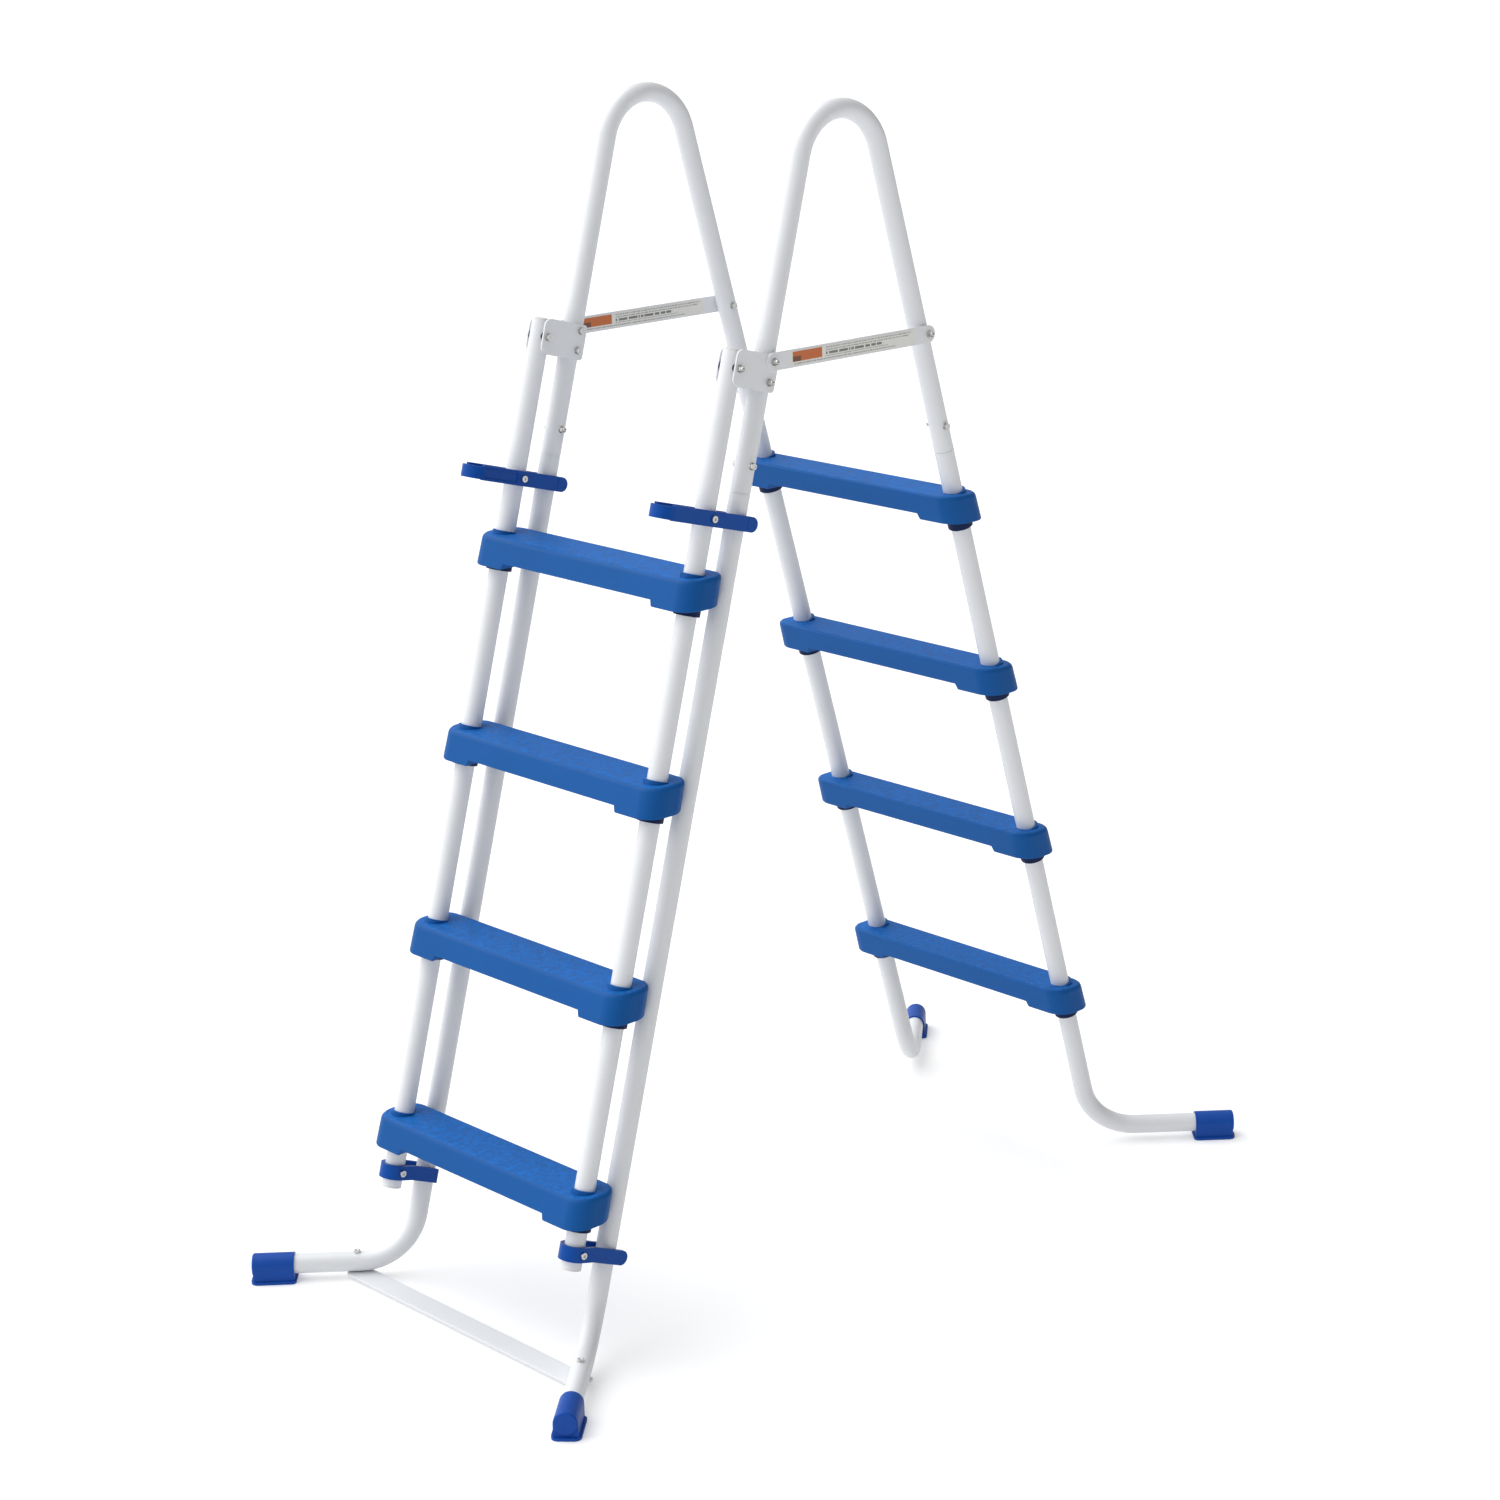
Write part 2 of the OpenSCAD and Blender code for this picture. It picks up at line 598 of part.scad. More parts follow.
module latch(side) color(dark_blue) on_leg(side, 0, rail_gap, latch_s) outward(side) difference() {
  u_strip(arm_in, arm_out, latch_reach - arm_out, rail_gap + tube_r + tip_past, latch_h);
  xcyl(bolt_r + running_fit, -2 * arm_out, 2 * arm_out);
  for (k = [0, 1]) mirror([0, 0, k]) translate([-2 * arm_out, -latch_reach - 1, latch_h / 2 - nose_cut[k]])
    cube([4 * arm_out, nose_len + 1, latch_h]);
  translate([-arm_out - 1, -latch_reach + nose_len + 3, -latch_h * 0.31])
    cube([thumb_depth + 1, latch_reach - nose_len - 3 - thumb_end, latch_h * 0.62]);
}

module pan_screw(r, x0, x1) difference() {
  union() {
    xcyl(pan_r, x0 - pan_h, x0);
    xcyl(r, x0 - eps, x1);
  }
  xcyl(pan_socket_r, x0 - pan_h - 1, x0 - pan_h / 2);
}

module barrel_nut(r, x0, x1) difference() {
  xcyl(pan_r, x0, x0 + pan_h);
  xcyl(r + fit, x0 - 1, x1);
}

module on_latches() for (side = sides) on_leg(side, 0, rail_gap, latch_s) children();
module on_clips() for (side = sides) on_leg(side, 0, rail_gap, clip_s) children();

module latch_bolts() color(steel) on_latches() mirror([1, 0, 0])
  pan_screw(bolt_r, -latch_seat, latch_seat + pan_h / 2);
module latch_nuts() color(steel) on_latches() mirror([1, 0, 0])
  barrel_nut(bolt_r, latch_seat, latch_seat + pan_h / 2 + fit);
module clip_screws() color(steel) on_clips() mirror([1, 0, 0])
  pan_screw(screw_r, -clip_out, clip_out + nut_h + 1);
module clip_nuts() color(steel) on_clips() mirror([1, 0, 0]) difference() {
  xhex(screw_d * 1.7, clip_out, clip_out + nut_h * 0.7);
  xcyl(screw_r + fit, clip_out - 1, 2 * clip_out);
}

// ---------- nodes ----------

leg(-1, 0);  // outer_leg_left
leg(1, 0);  // outer_leg_right
leg(-1, 1);  // inner_leg_left
leg(1, 1);  // inner_leg_right
handrail(-1);  // handrail_left
handrail(1);  // handrail_right
bracket(-1, -1);  // bracket_left_inner
bracket(-1, 1);  // bracket_left_outer
bracket(1, -1);  // bracket_right_inner
bracket(1, 1);  // bracket_right_outer
strap(-1);  // strap_left
strap(1);  // strap_right
strap_label(-1);  // strap_label_left
strap_label(1);  // strap_label_right
crossbar();
crossbar_bolts();
crossbar_nuts();
joint_bolts();
joint_nuts();
bracket_bolts();
bracket_nuts();
saddle_washers();
flat_washers();
pivot_bolts();
pivot_nuts();
strap_bolts();
strap_nuts();
strap_spacers();
inner_step(0);  // inner_step_1
inner_step(1);  // inner_step_2
inner_step(2);  // inner_step_3
inner_step(3);  // inner_step_4
inner_step_bushes();
inner_step_screws();
foot_cap(-1, 0);  // foot_cap_outer_left
foot_cap(1, 0);  // foot_cap_outer_right
foot_cap(-1, 1);  // foot_cap_inner_left
foot_cap(1, 1);  // foot_cap_inner_right
step_rail(-1);  // step_rail_left
step_rail(1);  // step_rail_right
outer_step(0);  // outer_step_1
outer_step(1);  // outer_step_2
outer_step(2);  // outer_step_3
outer_step(3);  // outer_step_4
outer_step_bushes();
outer_step_screws();
rail_end_plugs();
rail_top_plugs();
pivot_bushes();
lower_clip(-1);  // lower_clip_left
lower_clip(1);  // lower_clip_right
clip_screws();
clip_nuts();
latch_bolts();
latch_nuts();
latch(-1);  // latch_left
latch(1);  // latch_right
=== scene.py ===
"""Looks of a free-standing pool ladder: finishes, rounded and detailed pieces, camera and light."""
import json
import math

import bmesh
import bpy
from bpy.props import FloatProperty, FloatVectorProperty, PointerProperty
from mathutils import Matrix, Vector


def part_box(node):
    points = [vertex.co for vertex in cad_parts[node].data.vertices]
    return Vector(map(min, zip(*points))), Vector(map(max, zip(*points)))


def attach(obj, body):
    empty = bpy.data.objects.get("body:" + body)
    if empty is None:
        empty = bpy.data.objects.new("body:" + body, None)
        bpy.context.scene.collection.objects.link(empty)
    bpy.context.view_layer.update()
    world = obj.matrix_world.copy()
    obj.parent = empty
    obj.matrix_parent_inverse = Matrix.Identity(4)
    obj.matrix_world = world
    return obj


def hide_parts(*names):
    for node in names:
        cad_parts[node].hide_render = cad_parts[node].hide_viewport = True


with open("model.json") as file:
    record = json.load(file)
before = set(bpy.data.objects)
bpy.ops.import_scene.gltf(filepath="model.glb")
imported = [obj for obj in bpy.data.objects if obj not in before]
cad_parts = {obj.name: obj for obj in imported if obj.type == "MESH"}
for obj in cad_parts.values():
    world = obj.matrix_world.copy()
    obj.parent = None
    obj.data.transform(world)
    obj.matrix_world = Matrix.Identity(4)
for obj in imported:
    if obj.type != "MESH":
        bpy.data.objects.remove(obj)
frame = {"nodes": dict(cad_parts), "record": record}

bl_info = {
    "name": "Pool ladder looks",
    "version": (1, 0, 0),
    "blender": (4, 5, 0),
    "location": "View3D > Sidebar > Pool ladder",
    "description": "Dresses the packed pool ladder with finishes, detailed pieces, light and a camera",
    "category": "Object",
}

WELD = 2e-6  # metres within which two vertices are one
FLAT_WITHIN = math.radians(0.4)  # faces closer than this in direction are one flat face
FACE_WEIGHT = 80
FLOOR_RADIUS, FLOOR_SEGMENTS, FLOOR_DROP = 60.0, 96, 0.0005
BRIGHT_TOWARD = (-0.62, -0.42, 0.66)  # the side from which the surroundings shine brightest
DIM_AT, BRIGHT_AT = -0.7, 0.9  # how far toward that side the surroundings are dimmest and brightest
KEY_DIRECTION = (0.62, 0.46, -0.95)
KEY_SOFTNESS = math.radians(75)
SENSOR_WIDTH = 36.0
CAMERA_SHIFT = (-0.0968, -0.1)

NODES = frame["nodes"]
BODY_OF = {node: body for body, names in frame["record"]["behaviour"]["bodies"].items() for node in names}
SLOT_OF = {entry["node"]: entry["material_slot"] for entry in frame["record"]["subparts"]}


def colour(name, rgb, about):
    return FloatVectorProperty(name=name, description=about, subtype="COLOR", size=3, default=rgb, min=0, max=1)


def length(name, metres, about):
    return FloatProperty(name=name, description=about, subtype="DISTANCE", unit="LENGTH", default=metres, min=0)


class PoolLadderFinish(bpy.types.PropertyGroup):
    """Colours of the ladder's finishes"""

    coat: colour("Powder coat", (0.80, 0.815, 0.84), "White coat of the tubes and plates")
    tread: colour("Step blue", (0.004, 0.100, 0.365), "Moulded steps")
    latch: colour("Latch blue", (0.001, 0.066, 0.345), "Latches and lower clips")
    cap: colour("Foot cap blue", (0.007, 0.070, 0.370), "Foot caps")
    bush: colour("Bush navy", (0.004, 0.016, 0.070), "Bushes between steps and tubes")
    plug: colour("Plug white", (0.78, 0.78, 0.77), "Plugs in the rail ends")
    zinc: colour("Zinc", (0.66, 0.66, 0.64), "Bolts, nuts, washers and screws")
    sticker: colour("Sticker", (0.80, 0.80, 0.76), "Ground of the stickers")
    print_orange: colour("Sticker orange", (0.58, 0.13, 0.012), "Orange block on the stickers")


class PoolLadderSizes(bpy.types.PropertyGroup):
    """Small sizes that the looks add to the frame"""

    plate_edge: length("Plate edge", 0.0006, "Rounding of plate edges")
    moulded_edge: length("Moulded edge", 0.0012, "Rounding of moulded edges")
    metal_edge: length("Fastener edge", 0.0004, "Rounding of bolts and nuts")
    rib: length("Rib", 0.0009, "Height and width of the moulded ribs on latches and clips")
    rib_edge: length("Rib edge", 0.0003, "Rounding of the moulded ribs")


class PoolLadderStage(bpy.types.PropertyGroup):
    """Floor, light and camera"""

    floor: colour("Floor", (0.90, 0.90, 0.90), "Plain pale floor")
    floor_glow: FloatProperty(name="Floor glow", description="Evens out the floor", default=0.22)
    floor_return: FloatProperty(name="Floor return", description="Share of its light that the floor gives the ladder",
                                default=0.8)
    key: FloatProperty(name="Key light", description="Strength of the soft key light", default=2.0)
    sky_low: FloatProperty(name="Dim side", description="Strength of the surroundings on their dim side",
                           default=0.09)
    sky_high: FloatProperty(name="Bright side", description="Strength of the surroundings on their bright side",
                            default=0.85)
    camera_place: FloatVectorProperty(
        name="Camera place", description="Where the camera stands", subtype="TRANSLATION", unit="LENGTH",
        default=(3.8591, -3.5516, 2.3531))
    camera_turn: FloatProperty(name="Camera turn", description="Heading, 0 looks along +Y", subtype="ANGLE",
                               default=math.radians(44.812))
    camera_tilt: FloatProperty(name="Camera tilt", description="Above the horizon", subtype="ANGLE",
                               default=math.radians(-13.915))
    camera_roll: FloatProperty(name="Camera roll", description="Roll about the view", subtype="ANGLE",
                               default=math.radians(-0.8))
    lens: FloatProperty(name="Lens", description="Focal length in millimetres", default=79.69)


# ---------------------------------------------------------------- shader arithmetic


class Wire:
    """A shader socket that takes part in ordinary arithmetic."""

    def __init__(self, recipe, socket):
        self.recipe, self.socket = recipe, socket

    def _math(self, operation, *values):
        return self.recipe.node("ShaderNodeMath", {"operation": operation}, dict(enumerate(values)))

    def __add__(self, other):
        return self._math("ADD", self, other)

    def __sub__(self, other):
        return self._math("SUBTRACT", self, other)

    def __rsub__(self, other):
        return self._math("SUBTRACT", other, self)

    def __mul__(self, other):
        return self._math("MULTIPLY", self, other)

    def __gt__(self, other):
        return self._math("GREATER_THAN", self, other)

    def __lt__(self, other):
        return self._math("LESS_THAN", self, other)

    def __abs__(self):
        return self._math("ABSOLUTE", self)

    __radd__, __rmul__ = __add__, __mul__


class Recipe:
    """One procedural material or world. Its nodes all come from node()."""

    def __init__(self, name, owner=None, shader="Principled BSDF", **constants):
        self.material = owner or bpy.data.materials.new(name)
        self.material.use_nodes = True
        self.tree = self.material.node_tree
        self.shader = self.tree.nodes[shader]
        for key, value in constants.items():
            self.shader.inputs[key.replace("_", " ").title().replace("Ior", "IOR")].default_value = value

    def node(self, kind, settings=None, sockets=None, out=0):
        made = self.tree.nodes.new(kind)
        for key, value in (settings or {}).items():
            if key == "stops":
                ramp = made.color_ramp
                while len(ramp.elements) < len(value):
                    ramp.elements.new(0.5)
                for element, (position, grey) in zip(ramp.elements, value):
                    element.position, element.color = position, (grey, grey, grey, 1)
            else:
                setattr(made, key, value)
        for key, value in (sockets or {}).items():
            self.feed(made.inputs[key], value)
        return Wire(self, made.outputs[out])

    def feed(self, socket, value):
        if isinstance(value, Wire):
            self.tree.links.new(value.socket, socket)
        elif isinstance(value, (tuple, list)) and socket.type == "RGBA":
            socket.default_value = (*value[:3], 1)
        else:
            socket.default_value = value

    def set(self, **feeds):
        for key, value in feeds.items():
            self.feed(self.shader.inputs[key.replace("_", " ").title()], value)
        return self.material

    def place(self):
        return self.node("ShaderNodeTexCoord", out="Object")

    def axis(self, vector, name):
        return self.node("ShaderNodeSeparateXYZ", sockets={0: vector}, out=name)

    def noise(self, at, scale, detail=3.0, rough=0.55, out="Fac"):
        return self.node("ShaderNodeTexNoise", {"noise_dimensions": "3D"},
                         {"Vector": at, "Scale": scale, "Detail": detail, "Roughness": rough}, out=out)

    def ramp(self, value, *stops):
        return self.node("ShaderNodeValToRGB", {"stops": stops}, {0: value})

    def blend(self, factor, a, b):
        return self.node("ShaderNodeMix", {"data_type": "RGBA"}, {0: factor, 6: a, 7: b}, out=2)

    def warp(self, at, by, amount):
        push = self.node("ShaderNodeVectorMath", {"operation": "SCALE"}, {0: by, "Scale": amount})
        return self.node("ShaderNodeVectorMath", {"operation": "ADD"}, {0: at, 1: push})

    def bump(self, height, strength, distance, normal=None):
        sockets = {"Strength": strength, "Distance": distance, "Height": height}
        if normal is not None:
            sockets["Normal"] = normal
        return self.node("ShaderNodeBump", None, sockets)

    def facing_up(self):
        return self.axis(self.node("ShaderNodeNewGeometry", out="Normal"), "Z")


def shade(rgb, factor):
    return tuple(min(1.0, c * factor) for c in rgb)


# ---------------------------------------------------------------- finishes


def powder_coat(rgb):
    """Satin white powder coat with a fine orange-peel surface"""
    r = Recipe("powder_coat", coat_weight=0.25, coat_roughness=0.22)
    at = r.place()
    cloud = r.noise(at, 6.0, 2.0)
    peel = r.noise(at, 420.0, 2.0)
    return r.set(base_color=r.blend(cloud, rgb, shade(rgb, 0.965)), roughness=peel * 0.10 + 0.34,
                 normal=r.bump(peel, 0.10, 0.0004))


def tread_plastic(rgb):
    """Moulded blue plastic with a mottled, non-slip top"""
    r = Recipe("step_plastic", specular_ior_level=0.14)
    at = r.place()
    up = r.ramp(r.facing_up(), (0.80, 0.0), (0.97, 1.0))
    drift = r.noise(at, 9.0, 3.0)
    swirl = r.warp(at, r.noise(at, 45.0, 2.0, out="Color"), 0.020)
    mottle = r.noise(swirl, 110.0, 4.0, 0.62)
    grain = r.noise(at, 900.0, 2.0)
    patch = r.ramp(mottle, (0.38, 0.0), (0.62, 1.0))
    side = r.blend(drift, shade(rgb, 0.80), shade(rgb, 0.98))
    top = r.blend(patch, shade(rgb, 1.00), shade(rgb, 1.45))
    relief = r.bump(mottle * up, 0.70, 0.0015, r.bump(grain, 0.15, 0.0003))
    return r.set(base_color=r.blend(up, side, top), roughness=grain * 0.12 + patch * up * 0.08 + 0.42, normal=relief)


def smooth_plastic(name, rgb, rough, grain_size=700.0, gloss=0.0):
    """Moulded plastic with faint flow marks and a fine grain"""
    r = Recipe(name, coat_weight=gloss, coat_roughness=0.18, specular_ior_level=0.14)
    at = r.place()
    flow = r.noise(r.warp(at, r.noise(at, 12.0, 1.0, out="Color"), 0.03), 28.0, 3.0)
    grain = r.noise(at, grain_size, 2.0)
    return r.set(base_color=r.blend(flow, shade(rgb, 0.86), shade(rgb, 1.14)), roughness=flow * 0.10 + rough,
                 normal=r.bump(grain, 0.12, 0.0003))


def zinc_plate(rgb):
    """Bright zinc-plated steel with turning marks, with painted shade where it faces down"""
    r = Recipe("zinc_plate", metallic=1.0)
    at = r.place()
    haze = r.noise(at, 160.0, 3.0)
    marks = r.noise(r.node("ShaderNodeMapping", None, {"Vector": at, "Scale": (2400.0, 260.0, 260.0)}), 1.0, 2.0)
    # painted shade: the zinc colour darkens to about a fifth of itself where the surface faces down
    painted_downward_shade = r.ramp(r.facing_up() * 0.5 + 0.5, (0.15, 0.16), (0.62, 1.0))
    bright = r.blend(haze, shade(rgb, 0.85), shade(rgb, 1.30))
    return r.set(base_color=r.blend(painted_downward_shade, shade(rgb, 0.22), bright), roughness=haze * 0.20 + 0.16,
                 normal=r.bump(marks, 0.12, 0.0002))


def sticker_print(rgb, orange, low, high):
    """Vinyl sticker: an orange block and rows of plain grey bars, no words"""
    r = Recipe("sticker_print", coat_weight=0.3, coat_roughness=0.12)
    at = r.place()
    along = (r.axis(at, "Y") - low[1]) * (1 / (high[1] - low[1]))
    up = (r.axis(at, "Z") - low[2]) * (1 / (high[2] - low[2]))
    block = (along > 0.02) * (along < 0.25) * (up > 0.27) * (up < 0.95)
    dark_corner = block * (along < 0.085) * (up < 0.62)

    def bars(start, stop, middle, half, letter):
        """One row of bars as long as short words"""
        step = r.node("ShaderNodeMapping", None, {"Vector": at, "Scale": (0.0, letter, 0.0)})
        words = r.noise(step, 1.0, 0.0) > 0.42
        return (along > start) * (along < stop) * (abs(up - middle) < half) * words

    fine = bars(0.28, 0.97, 0.87, 0.045, 520.0) + bars(0.28, 0.95, 0.70, 0.045, 470.0)
    fine = fine + bars(0.03, 0.84, 0.13, 0.045, 560.0) + bars(0.28, 0.78, 0.30, 0.030, 600.0)
    bold = bars(0.28, 0.74, 0.49, 0.085, 230.0)
    ink = r.blend(fine * 0.50, rgb, (0.05, 0.05, 0.05))
    ink = r.blend(bold * 0.80, ink, (0.03, 0.03, 0.03))
    ink = r.blend(block, ink, orange)
    return r.set(base_color=r.blend(dark_corner * 0.75, ink, (0.03, 0.02, 0.01)),
                 roughness=r.noise(at, 90.0) * 0.1 + 0.35)


def finishes():
    """Every finish of the ladder by the record's slot name"""
    if not finishes.made:
        c = bpy.context.scene.pool_ladder_finish
        coat = powder_coat(tuple(c.coat))
        finishes.made.update(
            painted_tube=coat, painted_plate=coat, step_plastic=tread_plastic(tuple(c.tread)),
            cap_plastic=smooth_plastic("cap_plastic", tuple(c.cap), 0.36, gloss=0.05),
            latch_plastic=smooth_plastic("latch_plastic", tuple(c.latch), 0.30, gloss=0.06),
            bush_plastic=smooth_plastic("bush_plastic", tuple(c.bush), 0.45),
            plug_plastic=smooth_plastic("plug_plastic", tuple(c.plug), 0.42),
            hardware=zinc_plate(tuple(c.zinc)))
        low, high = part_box("strap_label_right")
        finishes.made["sticker"] = sticker_print(tuple(c.sticker), tuple(c.print_orange), low, high)
    return finishes.made


finishes.made = {}


# ---------------------------------------------------------------- making pieces


def dress(obj, slot):
    obj.data.materials.clear()
    obj.data.materials.append(finishes()[slot])


def keep(*nodes):
    """CAD nodes that stay, in their finish"""
    for node in nodes:
        mesh, finish = NODES[node].data, finishes()[SLOT_OF[node]]
        if not mesh.materials:
            mesh.materials.append(finish)
        for i in range(len(mesh.materials)):
            mesh.materials[i] = finish


def rounded_copy(node, name, edge, steps=3, sharp=38.0):
    """A piece shaped as its CAD node, with flat faces joined and every sharp edge rounded"""
    mesh = NODES[node].data.copy()
    mesh.name = name
    piece = bpy.data.objects.new(name, mesh)
    bpy.context.scene.collection.objects.link(piece)
    bm = bmesh.new()
    bm.from_mesh(mesh)
    bmesh.ops.remove_doubles(bm, verts=bm.verts, dist=WELD)
    bmesh.ops.dissolve_limit(bm, angle_limit=FLAT_WITHIN, verts=bm.verts, edges=bm.edges)
    for face in bm.faces:
        face.smooth = True
    bm.to_mesh(mesh)
    bm.free()
    bevel = piece.modifiers.new("rounding", "BEVEL")
    bevel.width, bevel.segments, bevel.limit_method = edge, steps, "ANGLE"
    bevel.angle_limit, bevel.use_clamp_overlap = math.radians(sharp), True
    bevel.miter_outer = "MITER_ARC"
    weigh = piece.modifiers.new("even_faces", "WEIGHTED_NORMAL")
    weigh.keep_sharp, weigh.weight = True, FACE_WEIGHT
    solid = bpy.data.meshes.new_from_object(piece.evaluated_get(bpy.context.evaluated_depsgraph_get()))
    piece.modifiers.clear()
    piece.data = solid
    solid.name = name
    bpy.data.meshes.remove(mesh)
    dress(piece, SLOT_OF[node])
    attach(piece, BODY_OF[node])
    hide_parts(node)
    return piece


def joint_point(name):
    """Where a joint of the frame stands"""
    return Vector(next(j["pos_m"] for j in frame["record"]["behaviour"]["joints"] if j["name"] == name))


def lean_frame(point):
    """Axes along a leaning outer rail at a point: x across the ladder, y toward the leg, z up the rail"""
    low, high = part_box("step_rail_left")
    rod = high[0] - low[0]
    lean = math.atan2((high[1] - low[1]) - rod, (high[2] - low[2]))
    return Matrix.Translation(point) @ Matrix.Rotation(-lean, 4, "X")


def ribs(name, node, place, sizes_at):
    """Small moulded ribs on a piece, each a rounded bar given by its middle and its size"""
    edge = bpy.context.scene.pool_ladder_sizes.rib_edge
    bm = bmesh.new()
    for middle, size in sizes_at:
        bar = place @ Matrix.Translation(middle) @ Matrix.Diagonal((*size, 1))
        made = bmesh.ops.create_cube(bm, size=1.0, matrix=bar)
        around = {e for v in made["verts"] for e in v.link_edges}
        bmesh.ops.bevel(bm, geom=list(around), offset=edge, segments=3, profile=0.5, affect="EDGES")
    mesh = bpy.data.meshes.new(name)
    bm.to_mesh(mesh)
    bm.free()
    mesh.shade_smooth()
    piece = bpy.data.objects.new(name, mesh)
    bpy.context.scene.collection.objects.link(piece)
    dress(piece, SLOT_OF[node])
    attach(piece, BODY_OF[node])
    return piece


class LadderPiece:
    """Shared settings of the operators that make pieces"""

    bl_options = {"REGISTER", "UNDO"}


class POOLLADDER_OT_tubes(LadderPiece, bpy.types.Operator):
    """Coat the handrails, legs and step rails"""

    bl_idname = "poolladder.tubes"
    bl_label = "Tubes"

    def execute(self, context):
        keep(*[n for n, s in SLOT_OF.items() if s == "painted_tube"])
        return {"FINISHED"}


class POOLLADDER_OT_plates(LadderPiece, bpy.types.Operator):
    """Round and coat the brackets, straps, crossbar and plugs"""

    bl_idname = "poolladder.plates"
    bl_label = "Plates"

    def execute(self, context):
        edge = context.scene.pool_ladder_sizes.plate_edge
        for node in [n for n, s in SLOT_OF.items() if s in ("painted_plate", "plug_plastic")]:
            rounded_copy(node, node + "_rounded", edge)
        return {"FINISHED"}


class POOLLADDER_OT_stickers(LadderPiece, bpy.types.Operator):
    """Print the two strap stickers"""

    bl_idname = "poolladder.stickers"
    bl_label = "Stickers"

    def execute(self, context):
        keep("strap_label_left", "strap_label_right")
        return {"FINISHED"}


class POOLLADDER_OT_steps(LadderPiece, bpy.types.Operator):
    """Make the eight moulded steps and their bushes"""

    bl_idname = "poolladder.steps"
    bl_label = "Steps"

    def execute(self, context):
        edge = context.scene.pool_ladder_sizes.moulded_edge
        for node in [n for n, s in SLOT_OF.items() if s == "step_plastic"]:
            rounded_copy(node, node.replace("step", "tread"), edge, sharp=40)
        for node in [n for n, s in SLOT_OF.items() if s == "bush_plastic"]:
            rounded_copy(node, node + "_rounded", edge * 0.6)
        return {"FINISHED"}


class POOLLADDER_OT_latches(LadderPiece, bpy.types.Operator):
    """Make the upper latches and lower clips"""

    bl_idname = "poolladder.latches"
    bl_label = "Latches"

    def execute(self, context):
        edge = context.scene.pool_ladder_sizes.moulded_edge
        for node in [n for n, s in SLOT_OF.items() if s == "latch_plastic"]:
            rounded_copy(node, node + "_moulded", edge)
        rib = context.scene.pool_ladder_sizes.rib
        for side in ("left", "right"):
            self.latch_ribs("latch_" + side, joint_point("latch_%s_lift" % side), rib)
        return {"FINISHED"}

    def latch_ribs(self, node, at, rib):
        """A rib before each tip, one behind the nose, and a rim on three sides of the thumb panel"""
        low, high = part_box(node)
        half = (high[0] - low[0]) / 2
        inward = -1 if at.x > 0 else 1
        front, tip, tall = -0.081, 0.072, 0.0205
        bars = [((side * half, y, 0), (rib, rib, tall)) for side in (-1, 1) for y in (front, tip)]
        rim_z, rim_start, rim_end = 0.0085, -0.079, -0.0115
        middle, run = (rim_start + rim_end) / 2, rim_end - rim_start
        bars += [((inward * half, middle, z), (rib, run, rib)) for z in (-rim_z, rim_z)]
        bars.append(((inward * half, rim_end, 0), (rib, rib, 2 * rim_z)))
        ribs(node + "_ribs", node, lean_frame(at), bars)


class POOLLADDER_OT_foot_caps(LadderPiece, bpy.types.Operator):
    """Make the four foot caps"""

    bl_idname = "poolladder.foot_caps"
    bl_label = "Foot caps"

    def execute(self, context):
        edge = context.scene.pool_ladder_sizes.moulded_edge
        for node in [n for n, s in SLOT_OF.items() if s == "cap_plastic"]:
            rounded_copy(node, node + "_moulded", edge)
        return {"FINISHED"}


class POOLLADDER_OT_fasteners(LadderPiece, bpy.types.Operator):
    """Make the bolts, nuts, washers and screws"""

    bl_idname = "poolladder.fasteners"
    bl_label = "Fasteners"

    def execute(self, context):
        edge = context.scene.pool_ladder_sizes.metal_edge
        for node in [n for n, s in SLOT_OF.items() if s == "hardware"]:
            rounded_copy(node, node + "_finished", edge, steps=2)
        return {"FINISHED"}


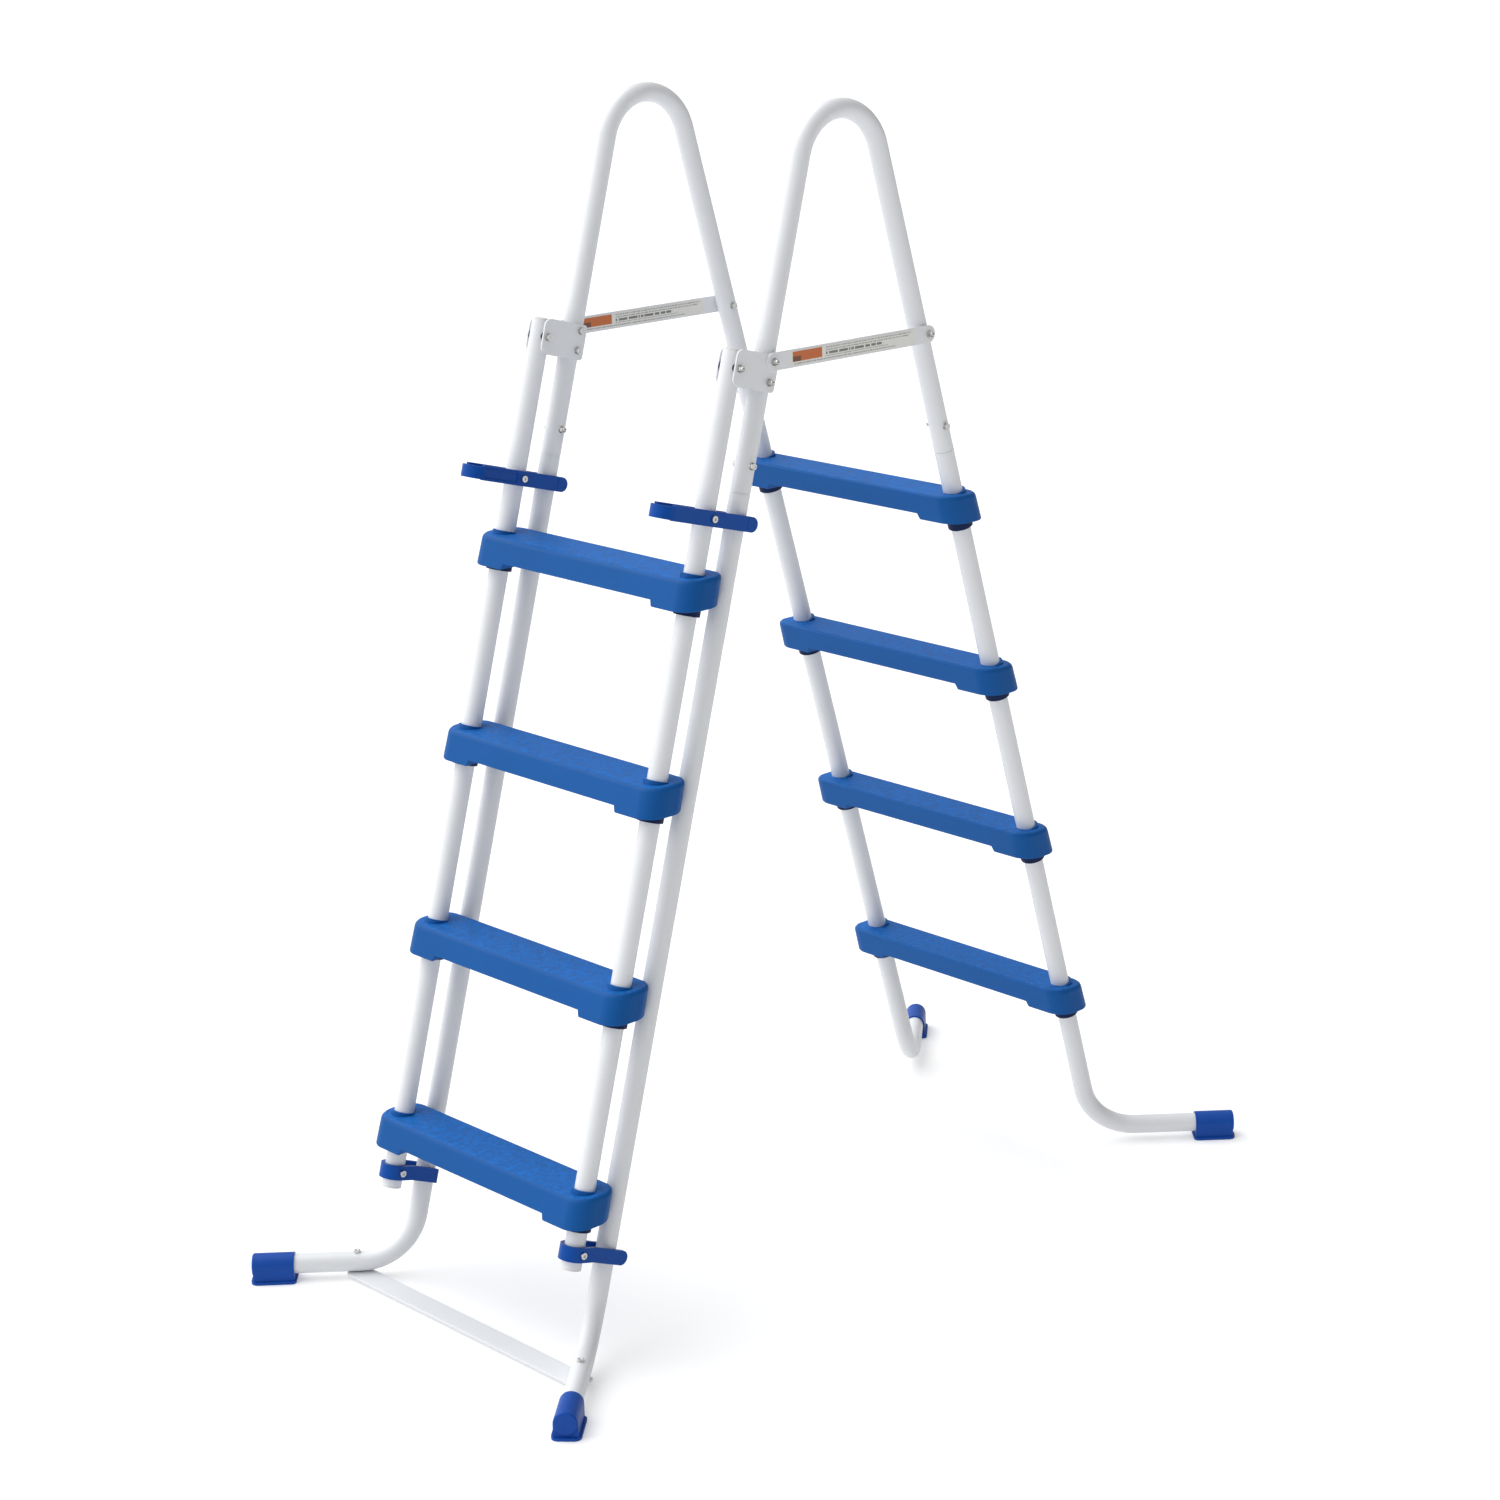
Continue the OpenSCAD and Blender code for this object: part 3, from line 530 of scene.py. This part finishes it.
class POOLLADDER_OT_stage(LadderPiece, bpy.types.Operator):
    """Lay the floor, set the light and place the camera"""

    bl_idname = "poolladder.stage"
    bl_label = "Stage"

    def execute(self, context):
        scene, s = context.scene, context.scene.pool_ladder_stage
        disc = bmesh.new()
        bmesh.ops.create_circle(disc, cap_ends=True, segments=FLOOR_SEGMENTS, radius=FLOOR_RADIUS)
        mesh = bpy.data.meshes.new("floor")
        disc.to_mesh(mesh)
        disc.free()
        floor = bpy.data.objects.new("floor", mesh)
        floor.location.z = -FLOOR_DROP
        scene.collection.objects.link(floor)
        r = Recipe("floor_paint", roughness=0.7, specular_ior_level=0.1, emission_color=(1.0, 1.0, 1.0, 1.0),
                   emission_strength=s.floor_glow)
        seen = r.node("ShaderNodeLightPath", out="Is Camera Ray")
        pale = tuple(s.floor)
        mesh.materials.append(r.set(base_color=r.blend(seen, shade(pale, s.floor_return), pale)))
        world = bpy.data.worlds.new("studio")
        scene.world = world
        air = Recipe("studio", world, "Background")
        toward = air.node("ShaderNodeVectorMath", {"operation": "DOT_PRODUCT"},
                          {0: air.node("ShaderNodeTexCoord", out="Generated"), 1: BRIGHT_TOWARD}, out="Value")
        glow = air.node("ShaderNodeMapRange", {"interpolation_type": "SMOOTHSTEP"},
                        {0: toward, 1: DIM_AT, 2: BRIGHT_AT, 3: s.sky_low, 4: s.sky_high})
        seen = air.node("ShaderNodeLightPath", out="Is Camera Ray")
        air.set(color=(1.0, 1.0, 1.0), strength=glow + (1.0 - glow) * seen)
        lamp = bpy.data.lights.new("key", "SUN")
        lamp.energy, lamp.angle = s.key, KEY_SOFTNESS
        holder = bpy.data.objects.new("key_light", lamp)
        holder.rotation_euler = Vector(KEY_DIRECTION).to_track_quat("-Z", "Y").to_euler()
        scene.collection.objects.link(holder)
        lens = bpy.data.cameras.new("camera")
        lens.lens, lens.sensor_width = s.lens, SENSOR_WIDTH
        lens.shift_x, lens.shift_y = CAMERA_SHIFT
        lens.clip_start, lens.clip_end = 0.1, 200.0
        eye = bpy.data.objects.new("camera", lens)
        turn = (Matrix.Rotation(s.camera_turn, 4, "Z") @ Matrix.Rotation(math.pi / 2 + s.camera_tilt, 4, "X")
                @ Matrix.Rotation(s.camera_roll, 4, "Z"))
        eye.matrix_world = Matrix.Translation(s.camera_place) @ turn
        scene.collection.objects.link(eye)
        scene.camera = eye
        scene.view_settings.view_transform = "Standard"
        return {"FINISHED"}


PIECE_OPERATORS = (POOLLADDER_OT_tubes, POOLLADDER_OT_plates, POOLLADDER_OT_stickers, POOLLADDER_OT_steps,
                   POOLLADDER_OT_latches, POOLLADDER_OT_foot_caps, POOLLADDER_OT_fasteners, POOLLADDER_OT_stage)


class POOLLADDER_PT_panel(bpy.types.Panel):
    """Lists the ladder's pieces"""

    bl_idname = "POOLLADDER_PT_panel"
    bl_label = "Pool ladder"
    bl_space_type = "VIEW_3D"
    bl_region_type = "UI"
    bl_category = "Pool ladder"

    def draw(self, context):
        for operator in PIECE_OPERATORS:
            self.layout.operator(operator.bl_idname)
        for group in (context.scene.pool_ladder_finish, context.scene.pool_ladder_sizes,
                      context.scene.pool_ladder_stage):
            for name in group.__annotations__:
                self.layout.prop(group, name)


SETTINGS = {"pool_ladder_finish": PoolLadderFinish, "pool_ladder_sizes": PoolLadderSizes,
            "pool_ladder_stage": PoolLadderStage}
CLASSES = (*SETTINGS.values(), *PIECE_OPERATORS, POOLLADDER_PT_panel)


def register():
    for cls in CLASSES:
        bpy.utils.register_class(cls)
    for name, group in SETTINGS.items():
        setattr(bpy.types.Scene, name, PointerProperty(type=group))


def unregister():
    for name in SETTINGS:
        delattr(bpy.types.Scene, name)
    for cls in reversed(CLASSES):
        bpy.utils.unregister_class(cls)


def main():
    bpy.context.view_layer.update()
    register()
    for operator in PIECE_OPERATORS:
        group, name = operator.bl_idname.split(".")
        getattr(getattr(bpy.ops, group), name)()
    bpy.context.view_layer.update()


if __name__ == "__main__":
    main()
